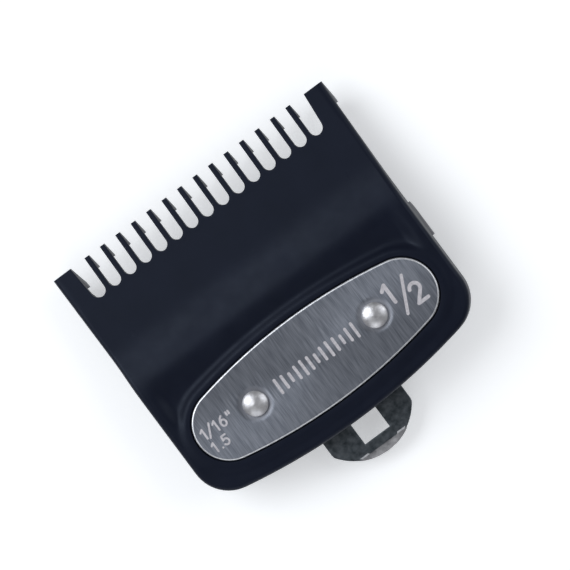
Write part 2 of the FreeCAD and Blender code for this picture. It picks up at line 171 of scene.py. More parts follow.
def join_patches(name, patches, outlines=(), near=0.002):
    """One mesh from grids of points (rows x columns x 3, in mm) and flat outlines of points.
    Points nearer than near mm are one vertex, and all faces are turned outwards."""
    points, quads, flats = [], [], []
    count = 0
    for patch in patches:
        rows, columns = patch.shape[:2]
        index = np.arange(rows * columns).reshape(rows, columns) + count
        cells = np.stack([index[:-1, :-1], index[:-1, 1:], index[1:, 1:], index[1:, :-1]], -1)
        quads.append(cells.reshape(-1, 4))
        points.append(patch.reshape(-1, 3))
        count += rows * columns
    for outline in outlines:
        flats.append(list(range(count, count + len(outline))))
        points.append(np.asarray(outline, float))
        count += len(outline)
    mesh = bpy.data.meshes.new(name)
    cells = np.concatenate(quads).tolist() if quads else []
    mesh.from_pydata((np.concatenate(points) * MM).tolist(), [], cells + flats)
    work = bmesh.new()
    work.from_mesh(mesh)
    bmesh.ops.remove_doubles(work, verts=work.verts, dist=near * MM)
    bmesh.ops.recalc_face_normals(work, faces=work.faces)
    work.to_mesh(mesh)
    work.free()
    piece = bpy.data.objects.new(name, mesh)
    bpy.context.scene.collection.objects.link(piece)
    return piece


def finish_edges(piece, width, segments=2, over=38.0, solid=0.0):
    """Gives the piece thickness where solid is set, rounds every edge sharper than over degrees
    to width mm, bakes both into its mesh, and shades it smooth up to 50 degrees."""
    if solid:
        thick = piece.modifiers.new("thickness", "SOLIDIFY")
        thick.thickness = solid * MM
        thick.offset = 0.0
        thick.use_even_offset = True
    if width:
        rounded = piece.modifiers.new("edges", "BEVEL")
        rounded.width = width * MM
        rounded.segments = segments
        rounded.limit_method = "ANGLE"
        rounded.angle_limit = math.radians(over)
        rounded.miter_outer = "MITER_ARC"
    bpy.context.view_layer.update()
    solved = piece.evaluated_get(bpy.context.evaluated_depsgraph_get())
    mesh = bpy.data.meshes.new_from_object(solved)
    mesh.name = piece.name
    piece.modifiers.clear()
    piece.data = mesh
    mesh.polygons.foreach_set("use_smooth", [True] * len(mesh.polygons))
    mesh.set_sharp_from_angle(angle=math.radians(50))
    return piece


# Columns of the comb run out from the plate's seat to the outer edge, all the way round.
# In front, some end at a tooth's root and the others at a slot's round bottom.
TOOTH_COUNT = 16
SLOT_COUNT = TOOTH_COUNT - 1
TOOTH_PITCH = 2.884
SLOT_HALF = 1.04
SLOT_POINTS = 15
SLOT_BOTTOM_Y = TIP_Y - 6.15
END_TIP_X = 21.8
END_ROOT_X = 21.4
TIP_DRAFT = 0.02
TOOTH_ACROSS = np.array([0.0, 0.18, 0.5, 0.82, 1.0])
END_ACROSS = np.array([0.0, 0.03, 0.07, 0.13, 0.22, 0.36, 0.52, 0.68, 0.84, 0.955, 1.0])

end_slot_x = (SLOT_COUNT - 1) / 2 * TOOTH_PITCH
end_slot_radius = END_ROOT_X - end_slot_x
teeth = []
for number in range(TOOTH_COUNT):
    is_last = number == TOOTH_COUNT - 1
    middle = (number - (TOOTH_COUNT - 1) / 2) * TOOTH_PITCH
    half = TOOTH_PITCH / 2 - SLOT_HALF
    root_y = SLOT_BOTTOM_Y + SLOT_HALF
    root = middle + half * (2 * TOOTH_ACROSS - 1)
    tip = middle + (half - TIP_DRAFT) * (2 * TOOTH_ACROSS - 1)
    if number == 0 or is_last:
        root_y = SLOT_BOTTOM_Y + end_slot_radius
        outer = side_at(root_y)
        inward = END_ACROSS if number == 0 else 1 - END_ACROSS[::-1]
        ends = (-outer, -END_ROOT_X) if number == 0 else (END_ROOT_X, outer)
        tips = (-TIP_HALF, -END_TIP_X) if number == 0 else (END_TIP_X, TIP_HALF)
        root = ends[0] + (ends[1] - ends[0]) * inward
        tip = tips[0] + (tips[1] - tips[0]) * inward
    teeth.append({"root": root, "tip": tip, "root_y": root_y, "end": number == 0 or is_last})

front_x, front_y = [], []
for number, tooth in enumerate(teeth):
    tooth["first"] = sum(len(part) for part in front_x)
    front_x.append(tooth["root"])
    front_y.append(np.full(len(tooth["root"]), tooth["root_y"]))
    tooth["last"] = sum(len(part) for part in front_x) - 1
    if number < SLOT_COUNT:
        turn = np.linspace(0.0, math.pi, SLOT_POINTS)[1:-1]
        left = end_slot_radius if number == 0 else SLOT_HALF
        right = end_slot_radius if number == SLOT_COUNT - 1 else SLOT_HALF
        middle = (number - (SLOT_COUNT - 1) / 2) * TOOTH_PITCH
        radius = np.where(turn < math.pi / 2, left, right)
        front_x.append(middle - radius * np.cos(turn))
        front_y.append(SLOT_BOTTOM_Y + radius * (1 - np.sin(turn)))
front_x = np.concatenate(front_x)
front_y = np.concatenate(front_y)
front_share = (front_x - front_x[0]) / (front_x[-1] - front_x[0])

# Side and rear columns, from the front right tooth round to the front left one.
NOTCH_HALF = 8.0
SIDE_COLUMNS, BEND_COLUMNS, BESIDE_COLUMNS, WITHIN_COLUMNS = 60, 9, 20, 27
corner_turn = math.atan2(CORNER_X, REAR_CENTRE_Y - CORNER_Y)
side_y = np.linspace(teeth[-1]["root_y"], CORNER_Y, SIDE_COLUMNS)[1:]
first_bend = np.linspace(0.0, math.pi / 4, BEND_COLUMNS)[1:]
second_bend = np.linspace(math.pi / 4, math.pi / 2 - corner_turn, BEND_COLUMNS)[1:]
right_x = np.concatenate([side_at(side_y), CORNER_X + CORNER_RADIUS * np.cos(first_bend)])
right_y = np.concatenate([side_y, CORNER_Y - CORNER_RADIUS * np.sin(first_bend)])
right_share = np.linspace(0.0, 1.0, len(right_x) + 1)[1:]
rear_edge_x = REAR_RADIUS * math.sin(corner_turn)
beside_notch = np.linspace(rear_edge_x, NOTCH_HALF, BESIDE_COLUMNS)[1:]
within_notch = np.linspace(NOTCH_HALF, -NOTCH_HALF, WITHIN_COLUMNS)[1:-1]
arc_x = np.concatenate([beside_notch, within_notch, -beside_notch[::-1], [-rear_edge_x]])
bend_x = CORNER_X + CORNER_RADIUS * np.cos(second_bend)
bend_y = CORNER_Y - CORNER_RADIUS * np.sin(second_bend)
rear_x = np.concatenate([bend_x, arc_x, -bend_x[-2::-1]])
arc_y = REAR_CENTRE_Y - np.sqrt(REAR_RADIUS ** 2 - arc_x ** 2)
rear_y = np.concatenate([bend_y, arc_y, bend_y[-2::-1]])
rear_x = np.append(rear_x, -right_x[-1])
rear_y = np.append(rear_y, right_y[-1])
rear_share = np.linspace(0.0, 1.0, len(rear_x) + 1)[1:]
left_x, left_y = -right_x[-2::-1], right_y[-2::-1]
left_share = np.linspace(0.0, 1.0, len(left_x) + 2)[1:-1]

edge_x = np.concatenate([front_x, right_x, rear_x, left_x, front_x[:1]])
edge_y = np.concatenate([front_y, right_y, rear_y, left_y, front_y[:1]])
section = np.concatenate([np.full(len(front_x), 0), np.full(len(right_x), 1),
                          np.full(len(rear_x), 2), np.full(len(left_x), 3), [4]])
share = np.concatenate([front_share, right_share, rear_share, left_share, [0.0]])
edge = np.stack([edge_x, edge_y], -1)
is_front = (section == 0) | (section == 4)

# Where each column starts on the seat's outline: equal shares of the outline's length
# between four places that face the comb's corners.
turn_table = np.linspace(0.75 * math.pi, -1.25 * math.pi, 4001)
outline_table, _ = plate_outline(turn_table, PLATE_GAP)
length_table = np.append(0.0, np.cumsum(np.hypot(*np.diff(outline_table, axis=0).T)))
quarter = np.interp(np.array([0.75, 0.25, -0.25, -0.75, -1.25, -1.25]) * -math.pi,
                    -turn_table, length_table)
length_at = quarter[section] + (quarter[np.minimum(section + 1, 5)] - quarter[section]) * share
turn_at = np.interp(length_at, length_table, turn_table)
seat_edge, _ = plate_outline(turn_at, PLATE_GAP)

# Distances of the rows from the seat's edge, and back from the comb's outer edge.
NEAR_SEAT = np.array([0.0, 0.16, 0.36, 0.56, 0.72, 0.88, 1.04, 1.2, 1.36, 1.52])
NEAR_FRONT = np.array([1.4, 1.2, 1.0, 0.8, 0.6, 0.4, 0.2, 0.0])
NEAR_SIDE = EDGE_ROUND * (1 - np.sin(np.linspace(0.0, math.pi / 2, 8)))
MIDDLE_ROWS = 46
away = edge - seat_edge
away_long = np.hypot(away[:, 0], away[:, 1])
ending = np.where(is_front[:, None], NEAR_FRONT[None, :], NEAR_SIDE[None, :])
first_row = NEAR_SEAT[-1] / away_long
last_row = 1 - ending[:, 0] / away_long
between = np.linspace(0.0, 1.0, MIDDLE_ROWS)[1:-1]
middle_rows = first_row[:, None] + (last_row - first_row)[:, None] * between[None, :]
along = np.concatenate([NEAR_SEAT[None, :] / away_long[:, None], middle_rows,
                        1 - ending / away_long[:, None]], 1)
top_xy = seat_edge[:, None, :] + away[:, None, :] * along[:, :, None]
top_z = top_height(top_xy[..., 0], top_xy[..., 1])
top_face = np.concatenate([top_xy, top_z[..., None]], -1)
edge_z = top_z[:, -1]


def level_grid(start, end, low, high, rows):
    """Straight rows between two lines of plan points, whose heights run from low to high."""
    part = np.linspace(0.0, 1.0, rows)
    plan = start[:, None, :] + (end - start)[:, None, :] * part[None, :, None]
    height = np.broadcast_to(np.asarray(low, float), len(start))[:, None] * (1 - part) \
        + np.broadcast_to(np.asarray(high, float), len(start))[:, None] * part
    return np.concatenate([plan, height[..., None]], -1)


patches = [top_face]
seat_line = np.stack([np.clip(seat_edge[:, 0], -REACH, REACH), np.full(len(edge), PLATE_Y)], -1)
patches.append(level_grid(seat_edge, seat_edge, PLATE_FLOOR_Z, RIM_Z, 2))
patches.append(level_grid(seat_line, seat_edge, PLATE_FLOOR_Z, PLATE_FLOOR_Z, 6))

# The hollow below: each column's place on its outline, then the walls and the ceiling.
HOLLOW_HALF = 20.6
HOLLOW_FRONT_Y = TIP_Y - 17.0
HOLLOW_REAR_Y = TIP_Y - 40.7
CEILING_Z = 6.9
NOTCH_Z = 7.75
NOTCH_FRONT_Y = TIP_Y - 38.6
MIDDLE_LINE_Y = (HOLLOW_FRONT_Y + HOLLOW_REAR_Y) / 2

rear_end = abs(rear_x[-1])
beyond = np.clip((np.abs(edge_x) - NOTCH_HALF) / (rear_end - NOTCH_HALF), 0.0, 1.0)
rear_inner = np.sign(edge_x) * (np.minimum(np.abs(edge_x), NOTCH_HALF)
                                + beyond * (HOLLOW_HALF - NOTCH_HALF))
hollow_x = np.select([is_front, section == 1, section == 2, section == 3],
                     [HOLLOW_HALF * (2 * share - 1), HOLLOW_HALF, rear_inner, -HOLLOW_HALF])
side_run = HOLLOW_FRONT_Y - HOLLOW_REAR_Y
hollow_y = np.select([is_front, section == 1, section == 2, section == 3],
                     [HOLLOW_FRONT_Y, HOLLOW_FRONT_Y - side_run * share, HOLLOW_REAR_Y,
                      HOLLOW_REAR_Y + side_run * share])
hollow = np.stack([hollow_x, hollow_y], -1)
middle_line = np.stack([hollow_x * 0.7, np.full(len(edge), MIDDLE_LINE_Y)], -1)
in_notch = (section == 2) & (np.abs(edge_x) < NOTCH_HALF + 1e-6)
notch_columns = np.flatnonzero(in_notch)
notch_first, notch_last = notch_columns[0], notch_columns[-1]
full = np.concatenate([np.arange(notch_last, len(edge) - 1), np.arange(0, notch_first + 1)])
wall_share = (NOTCH_Z - SEAT_Z) / (edge_z[notch_first] - SEAT_Z)
wall_z = SEAT_Z + (edge_z - SEAT_Z) * wall_share

patches.append(level_grid(edge[full], hollow[full], SEAT_Z, SEAT_Z, 5))
patches.append(level_grid(hollow[full], hollow[full], SEAT_Z, CEILING_Z, 2))
patches.append(level_grid(hollow[full], middle_line[full], CEILING_Z, CEILING_Z, 5))

notch = np.arange(notch_first, notch_last + 1)
notch_line = np.stack([edge_x[notch], np.full(len(notch), NOTCH_FRONT_Y)], -1)
patches.append(level_grid(edge[notch], notch_line, NOTCH_Z, NOTCH_Z, 4))
patches.append(level_grid(notch_line, notch_line, NOTCH_Z, CEILING_Z, 2))
patches.append(level_grid(notch_line, middle_line[notch], CEILING_Z, CEILING_Z, 5))
patches.append(level_grid(edge[notch], edge[notch], edge_z[notch], wall_z[notch], 2))
around = np.concatenate([full[full >= notch_last], [0]])
patches.append(level_grid(edge[around], edge[around], edge_z[around], wall_z[around], 2))
patches.append(level_grid(edge[around], edge[around], wall_z[around], SEAT_Z, 2))
around = np.arange(teeth[-1]["last"], notch_first + 1)
patches.append(level_grid(edge[around], edge[around], edge_z[around], wall_z[around], 2))
patches.append(level_grid(edge[around], edge[around], wall_z[around], SEAT_Z, 2))
for number in range(SLOT_COUNT):
    around = np.arange(teeth[number]["last"], teeth[number + 1]["first"] + 1)
    patches.append(level_grid(edge[around], edge[around], edge_z[around], wall_z[around], 2))
    patches.append(level_grid(edge[around], edge[around], wall_z[around], SEAT_Z, 2))

outlines = []
for column, line_end in ((notch_first, 0), (notch_last, -1)):
    full_row = level_grid(edge[[column]], hollow[[column]], SEAT_Z, SEAT_Z, 5)[0]
    notch_row = level_grid(edge[[column]], notch_line[[line_end]], NOTCH_Z, NOTCH_Z, 4)[0]
    full_top = np.append(hollow[column], CEILING_Z)
    notch_top = np.append(notch_line[line_end], CEILING_Z)
    outlines.append(np.concatenate([full_row, [full_top, notch_top], notch_row[::-1]]))
    wedge = np.stack([
        level_grid(hollow[[column]], middle_line[[column]], CEILING_Z, CEILING_Z, 5)[0],
        level_grid(notch_line[[line_end]], middle_line[[column]], CEILING_Z, CEILING_Z, 5)[0],
    ])
    patches.append(wedge)

# Each tooth runs on from its root: along the top, over the tip, down the sloped underside
# to the hook, up the hook's rear face and back to the root.
HOOK_BACK, HOOK_LOW, HOOK_FOOT = 2.35, 2.55, 0.25
FIN_BACK, FIN_LOW, FIN_FOOT = 3.85, 1.3, 0.9
TIP_LAND = 0.2
for tooth in teeth:
    tooth_run = np.linspace(tooth["root_y"], TIP_Y, 12)
    tooth_run = np.append(tooth_run[:-1], [TIP_Y - TIP_LAND, TIP_Y])
    low, behind = (FIN_LOW, FIN_BACK) if tooth["end"] else (HOOK_LOW, HOOK_BACK)
    foot = FIN_FOOT if tooth["end"] else HOOK_FOOT
    under_y = np.concatenate([
        [TIP_Y], np.linspace(TIP_Y, TIP_Y - behind + foot, 5)[1:],
        [TIP_Y - behind, TIP_Y - behind, TIP_Y - behind],
        np.linspace(TIP_Y - behind, tooth["root_y"], 4)[1:]])
    under_z = np.concatenate([
        [TIP_UNDER_Z], np.linspace(TIP_UNDER_Z, low, 5)[1:],
        [low, (low + SEAT_Z) / 2, SEAT_Z], np.full(3, SEAT_Z)])
    run_y = np.concatenate([tooth_run, under_y])
    part = (run_y - tooth["root_y"]) / (TIP_Y - tooth["root_y"])
    across = tooth["root"][:, None] + (tooth["tip"] - tooth["root"])[:, None] * part[None, :]
    along_y = np.broadcast_to(run_y, across.shape)
    height = top_height(across, along_y)
    height[:, len(tooth_run):] = under_z
    grid = np.stack([across, along_y, height], -1)
    patches.append(grid)
    for side, column in ((0, tooth["first"]), (-1, tooth["last"])):
        wall_point = np.array([[*edge[column], wall_z[column]]])
        outlines.append(np.concatenate([grid[side], wall_point]))


def block(low, high):
    """Six grids of four corner points each, one for every side of a box between two corners."""
    (x0, y0, z0), (x1, y1, z1) = low, high
    corner = np.array([[[[x, y, z] for z in (z0, z1)] for y in (y0, y1)] for x in (x0, x1)], float)
    return [corner[0], corner[1], corner[:, 0], corner[:, 1], corner[:, :, 0], corner[:, :, 1]]


RIB_INNER, RIB_WIDE, RIB_SHORT, RIB_SINK = 17.0, 1.0, 0.12, 0.3
EAR_INNER, EAR_THIN, EAR_OUTER = 23.4, 24.2, 24.62
EAR_FRONT_Y, EAR_STEP_Y, EAR_REAR_Y = TIP_Y - 22.1, TIP_Y - 28.2, TIP_Y - 34.6
EAR_TOP_Z, EAR_SLOPE = 6.6, 1.2
for hand in (-1, 1):
    inner, outer = sorted((hand * RIB_INNER, hand * (RIB_INNER + RIB_WIDE)))
    patches += block((inner, HOLLOW_REAR_Y - RIB_SINK, SEAT_Z + RIB_SHORT),
                     (outer, HOLLOW_FRONT_Y + RIB_SINK, CEILING_Z + RIB_SINK))
    # An ear is a thin plate with a thicker cheek on its front part: seen from below, a step
    # in its outer face. Its front foot is cut back by EAR_SLOPE.
    cheek = [EAR_OUTER, EAR_OUTER, EAR_OUTER, EAR_THIN, EAR_THIN]
    ear_y = np.array([EAR_FRONT_Y, EAR_FRONT_Y - EAR_SLOPE, EAR_STEP_Y, EAR_STEP_Y, EAR_REAR_Y])
    foot_z = np.array([EAR_SLOPE, 0.0, 0.0, 0.0, 0.0])
    outer_x, inner_x = hand * np.array(cheek), np.full(5, hand * EAR_INNER)
    corners = [np.stack([x, ear_y, z], -1) for x, z in (
        (inner_x, np.full(5, EAR_TOP_Z)), (outer_x, np.full(5, EAR_TOP_Z)),
        (outer_x, foot_z), (inner_x, foot_z), (inner_x, np.full(5, EAR_TOP_Z)))]
    patches.append(np.stack(corners))
    outlines += [[corner[end] for corner in corners[:4]] for end in (0, -1)]
comb = finish_edges(join_patches("guard_comb", patches, outlines), 0.09)


def shader(name, **sockets):
    """A material with one Principled shader whose plain sockets are set by name."""
    material = bpy.data.materials.new(name)
    material.use_nodes = True
    tree = material.node_tree
    surface = tree.nodes["Principled BSDF"]
    for socket, value in sockets.items():
        surface.inputs[socket.replace("_", " ")].default_value = value
    return material, tree, surface


def grain(tree, scale, stretch=(1.0, 1.0, 1.0), detail=2.0):
    """Noise read in Object coordinates: scale is in cells a metre, stretch squeezes each axis."""
    place = tree.nodes.new("ShaderNodeTexCoord")
    mapping = tree.nodes.new("ShaderNodeMapping")
    mapping.inputs["Scale"].default_value = stretch
    noise = tree.nodes.new("ShaderNodeTexNoise")
    noise.inputs["Scale"].default_value = scale
    noise.inputs["Detail"].default_value = detail
    tree.links.new(place.outputs["Object"], mapping.inputs["Vector"])
    tree.links.new(mapping.outputs["Vector"], noise.inputs["Vector"])
    return noise.outputs["Fac"]


def spread(tree, factor, low, high, start=0.3, end=0.7):
    """Maps a factor between start and end onto values, or colours, from low to high."""
    if isinstance(low, tuple):
        ramp = tree.nodes.new("ShaderNodeValToRGB")
        ramp.color_ramp.elements[0].position = start
        ramp.color_ramp.elements[1].position = end
        ramp.color_ramp.elements[0].color = (*low, 1.0)
        ramp.color_ramp.elements[1].color = (*high, 1.0)
        tree.links.new(factor, ramp.inputs["Fac"])
        return ramp.outputs["Color"]
    remap = tree.nodes.new("ShaderNodeMapRange")
    for socket, value in (("From Min", start), ("From Max", end), ("To Min", low), ("To Max", high)):
        remap.inputs[socket].default_value = value
    tree.links.new(factor, remap.inputs["Value"])
    return remap.outputs["Result"]


def relief(tree, surface, heights):
    """Bumps laid one over another on the surface: pairs of a factor and its depth in metres."""
    normal = None
    for factor, depth in heights:
        bump = tree.nodes.new("ShaderNodeBump")
        bump.inputs["Distance"].default_value = depth
        bump.inputs["Strength"].default_value = 1.0
        tree.links.new(factor, bump.inputs["Height"])
        if normal is not None:
            tree.links.new(normal, bump.inputs["Normal"])
        normal = bump.outputs["Normal"]
    tree.links.new(normal, surface.inputs["Normal"])


# Blue-black nylon with the fine spark-eroded grain of the mould, and slow cloudy changes of
# tone and gloss where it has been handled.
nylon, tree, surface = shader("black_nylon", Specular_IOR_Level=0.25, IOR=1.5,
                          Specular_Tint=(0.72, 0.82, 1.0, 1.0))
cloud = grain(tree, 160.0, detail=3.0)
tree.links.new(spread(tree, cloud, (0.0018, 0.0030, 0.0098), (0.0032, 0.0046, 0.0132)),
               surface.inputs["Base Color"])
tree.links.new(spread(tree, grain(tree, 420.0, detail=4.0), 0.40, 0.52),
               surface.inputs["Roughness"])
relief(tree, surface, [(grain(tree, 9000.0, detail=1.0), 0.000003),
                       (grain(tree, 120.0, detail=1.0), 0.000012)])
comb.data.materials.append(nylon)
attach(comb, "comb")
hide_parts("comb_body")

# ================================================================ the name plate
# A stamped stainless steel plate, brushed across, with a turned-down edge that carries a painted
# highlight. It drops into its seat and is pressed down round both rivets.
PLATE_THICK = 0.8
PLATE_TOP_Z = PLATE_HIGH[2]
PLATE_BEVEL = 0.26
RIVET_LOW, RIVET_HIGH = (np.array(corner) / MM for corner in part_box("rivet_right"))
RIVET_X = (RIVET_LOW[0] + RIVET_HIGH[0]) / 2
HEAD_RADIUS = (RIVET_HIGH[0] - RIVET_LOW[0]) / 2
DIMPLE_RADIUS, DIMPLE_STEP, DIMPLE_DEPTH = 2.1, 0.8, 0.10
PLATE_CROWN = 0.05
FOOT_TUCK, FOOT_HIGH, FOOT_LIFT = 0.05, 0.12, 0.02
PLATE_COLUMNS, FACE_ROWS = 481, 42


def pressed_part(x, y):
    """1 on the flat ring pressed down round each rivet, 0 beyond it, with a smooth step."""
    near = np.hypot(np.abs(x) - RIVET_X, y - PLATE_Y)
    return 1.0 - smooth((near - DIMPLE_RADIUS) / DIMPLE_STEP)


def plate_height(x, y):
    """The plate's face: flat, crowned by a hair towards its middle, and pressed down by
    DIMPLE_DEPTH round each rivet."""
    crown = PLATE_CROWN * (np.abs(x) / PLATE_HALF_LONG) ** 2
    return PLATE_TOP_Z - crown - DIMPLE_DEPTH * pressed_part(x, y)


# Columns at equal steps along the outline, each with a row of points in to the middle line.
plate_turn = np.linspace(0.0, 2 * math.pi, PLATE_COLUMNS)
plate_steps = np.diff(plate_outline(plate_turn, 0.0)[0], axis=0)
plate_length = np.append(0.0, np.cumsum(np.hypot(*plate_steps.T)))
even_length = np.linspace(0.0, plate_length[-1], PLATE_COLUMNS)
plate_turn = np.interp(even_length, plate_length, plate_turn)
face_edge, face_normal = plate_outline(plate_turn, -PLATE_BEVEL)
face_line_x = np.clip(face_edge[:, 0], -REACH, REACH)
face_line = np.stack([face_line_x, np.full(PLATE_COLUMNS, PLATE_Y)], -1)
face_part = np.linspace(0.0, 1.0, FACE_ROWS)
face_xy = face_line[:, None] + (face_edge - face_line)[:, None] * face_part[None, :, None]
face = np.concatenate([face_xy, plate_height(face_xy[..., 0], face_xy[..., 1])[..., None]], -1)
bend = np.linspace(0.0, math.pi / 2, 6)
rim_out = np.append(PLATE_BEVEL * np.sin(bend), [PLATE_BEVEL, PLATE_BEVEL - FOOT_TUCK])
rim_down = np.append(PLATE_BEVEL * (1 - np.cos(bend)),
                     [PLATE_THICK - FOOT_HIGH, PLATE_THICK - FOOT_LIFT])
rim_xy = face_edge[:, None] + face_normal[:, None] * rim_out[None, :, None]
rim_z = face[:, -1, 2][:, None] - rim_down[None, :]
rim_grid = np.concatenate([rim_xy, rim_z[..., None]], -1)
under = level_grid(rim_xy[:, -1], face_line, rim_z[:, -1], rim_z[:, -1], 4)
plate = finish_edges(join_patches("steel_plate", [face, rim_grid, under], near=0.0005), 0.0)

# Fine and broad brush streaks across the plate, burnished on the ring round each rivet. The
# bevelled edge gets a far paler steel: a painted highlight for the light it catches.
steel, tree, surface = shader("brushed_plate", Metallic=1.0, Anisotropic=0.55,
                              Anisotropic_Rotation=0.0)
streak = grain(tree, 10000.0, stretch=(1.0, 0.03, 1.0), detail=6.0)
broad = grain(tree, 2600.0, stretch=(1.0, 0.10, 1.0), detail=4.0)
blend_streaks = tree.nodes.new("ShaderNodeMath")
blend_streaks.operation = "MULTIPLY_ADD"
blend_streaks.inputs[1].default_value = 0.62
tree.links.new(streak, blend_streaks.inputs[0])
half_broad = tree.nodes.new("ShaderNodeMath")
half_broad.operation = "MULTIPLY"
half_broad.inputs[1].default_value = 0.38
tree.links.new(broad, half_broad.inputs[0])
tree.links.new(half_broad.outputs[0], blend_streaks.inputs[2])
streaks = blend_streaks.outputs[0]
brushed = spread(tree, streaks, (0.165, 0.180, 0.215), (0.32, 0.335, 0.375), 0.34, 0.66)
pressed = tree.nodes.new("ShaderNodeAttribute")
pressed.attribute_name = "pressed"
burnish = tree.nodes.new("ShaderNodeMix")
burnish.data_type = "RGBA"
burnish.inputs["B"].default_value = (0.33, 0.335, 0.37, 1.0)
tree.links.new(spread(tree, pressed.outputs["Fac"], 0.0, 0.65, 0.0, 1.0), burnish.inputs["Factor"])
tree.links.new(brushed, burnish.inputs["A"])
tree.links.new(burnish.outputs["Result"], surface.inputs["Base Color"])
tree.links.new(spread(tree, streak, 0.34, 0.50), surface.inputs["Roughness"])
relief(tree, surface, [(streak, 0.000010), (grain(tree, 250.0), 0.000060)])
plate.data.materials.append(steel)
# Painted highlight: a far paler copy of the plate's steel, laid on the bevel and on the clip's
# crease.
highlight_paint, tree, surface = shader("painted_highlight_edge", Metallic=1.0)
highlight_tone = spread(tree, grain(tree, 1800.0, detail=4.0), (0.62, 0.63, 0.66), (0.90, 0.90, 0.92))
tree.links.new(highlight_tone, surface.inputs["Base Color"])
tree.links.new(spread(tree, grain(tree, 3000.0), 0.35, 0.5), surface.inputs["Roughness"])
plate.data.materials.append(highlight_paint)
corner_place = np.empty(len(plate.data.vertices) * 3)
plate.data.vertices.foreach_get("co", corner_place)
corner_place = corner_place.reshape(-1, 3) / MM
ring = plate.data.attributes.new("pressed", "FLOAT", "POINT")
ring.data.foreach_set("value", pressed_part(corner_place[:, 0], corner_place[:, 1]))
face_place = np.empty(len(plate.data.polygons) * 3)
plate.data.polygons.foreach_get("center", face_place)
face_place = face_place.reshape(-1, 3) / MM
on_edge = plate_distance(face_place[:, 0], face_place[:, 1]) > -PLATE_BEVEL
plate.data.polygons.foreach_set("material_index", on_edge.astype(int))
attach(plate, "comb")
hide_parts("name_plate")

# =============================================================== the etched marks
# Pale frosted figures and a plain row of ticks, etched into the plate. Each stroke is a
# ribbon that follows its line and lies on the plate's face.
MARK_LIFT = 0.006
MARK_STEP = 0.004
MARK_SINK = 0.03
STROKE_STEP = 0.12
COURSE_STEP = 0.02


def stroke(points, width, lift=MARK_LIFT):
    """A ribbon along a line of plan points: the line is sampled evenly, each sample is pushed
    half a width to both sides along the line's normal, and the ends are half rounds."""
    line = np.asarray(points, float)
    run = np.append(0.0, np.cumsum(np.hypot(*np.diff(line, axis=0).T)))
    steps = max(int(run[-1] / STROKE_STEP), 6)
    cap = width / 2
    cap_turn = np.linspace(0, math.pi / 2, 6)
    inner = np.linspace(0.0, run[-1], steps)
    where = np.concatenate([-cap * np.cos(cap_turn)[:-1], inner,
                            run[-1] + cap * np.sin(cap_turn)[1:]])
    half = np.concatenate([cap * np.sin(cap_turn)[:-1], np.full(steps, cap),
                           cap * np.cos(cap_turn)[1:]])
    held = np.clip(where, 0.0, run[-1])
    centre = np.stack([np.interp(held, run, line[:, 0]), np.interp(held, run, line[:, 1])], -1)
    ahead = np.clip(held + COURSE_STEP, 0.0, run[-1])
    behind = np.clip(held - COURSE_STEP, 0.0, run[-1])
    course = np.stack([np.interp(ahead, run, line[:, i]) - np.interp(behind, run, line[:, i])
                       for i in (0, 1)], -1)
    course /= np.hypot(course[:, 0], course[:, 1])[:, None]
    centre = centre + course * (where - held)[:, None]
    normal = np.stack([-course[:, 1], course[:, 0]], -1)
    across = np.array([-1.0, 0.0, 1.0])
    plan = centre[:, None] + normal[:, None] * (half[:, None] * across[None, :])[..., None]
    height = plate_height(plan[..., 0], plan[..., 1])[..., None]
    upper = np.concatenate([plan, height + lift], -1)
    lower = np.concatenate([plan, height - MARK_SINK], -1)
    sides = [np.stack([upper[:, i], lower[:, i]], 1) for i in (0, -1)]
    return [upper, lower] + sides


def bowl(centre, size, start, end):
    """Points of an elliptical arc: centre plus size times the cosine and sine, in degrees."""
    turn = np.radians(np.linspace(start, end, 20))
    arc_x, arc_y = centre[0] + size[0] * np.cos(turn), centre[1] + size[1] * np.sin(turn)
    return list(zip(arc_x, arc_y))


def figure(kind):
    """The lines of one figure in a box 0.6 wide and 1 high, in plain round strokes: a stroke
    ends where the line turns sharply, and the next starts there."""
    if kind == "1":
        return [[(0.32, 1.0), (0.32, 0.0)], [(0.06, 0.78), (0.32, 1.0)]]
    if kind == "2":
        return [bowl((0.3, 0.72), (0.27, 0.28), 165, -25) + [(0.03, 0.0)], [(0.03, 0.0), (0.6, 0.0)]]
    if kind == "5":
        return [bowl((0.28, 0.32), (0.29, 0.32), 128, -150), [(0.1, 1.0), (0.06, 0.56)],
                [(0.55, 1.0), (0.1, 1.0)]]
    if kind == "6":
        return [bowl((0.31, 0.31), (0.27, 0.31), 180, -180),
                bowl((0.75, 0.31), (0.71, 0.75), 180, 118)]
    if kind == "/":
        return [[(0.62, 1.12), (0.0, -0.12)]]
    if kind == ".":
        return [[(0.16, 0.0), (0.16, 0.02)]]
    return [[(0.12, 1.0), (0.12, 0.72)], [(0.36, 1.0), (0.36, 0.72)]]


def write_marks(marks):
    """Lays figures on the plate: each is a kind, its lower left corner, its height and stroke."""
    made = []
    for kind, x, y, tall, width in marks:
        for level, line in enumerate(figure(kind)):
            placed = [(x + u * tall, y + v * tall) for u, v in line]
            made += stroke(placed, width, MARK_LIFT + level * MARK_STEP)
    return made


# The size as a large fraction at one end, and in inches and millimetres at the other.
marks = [("1", 13.75, -7.75, 3.0, 0.58), ("/", 15.15, -9.75, 4.15, 0.48),
         ("2", 17.3, -10.0, 3.0, 0.56)]
INCH_Y, INCH_TALL, INCH_STROKE = -7.45, 1.6, 0.31
METRIC_Y, METRIC_TALL, METRIC_STROKE = -9.9, 1.5, 0.30
for kind, x in (("1", -20.4), ("/", -19.45), ("1", -18.2), ("6", -17.05), ("quote", -15.65)):
    marks.append((kind, x, INCH_Y, INCH_TALL, INCH_STROKE))
for kind, x in (("1", -20.2), (".", -19.05), ("5", -18.3)):
    marks.append((kind, x, METRIC_Y, METRIC_TALL, METRIC_STROKE))
mark_patches = write_marks(marks)

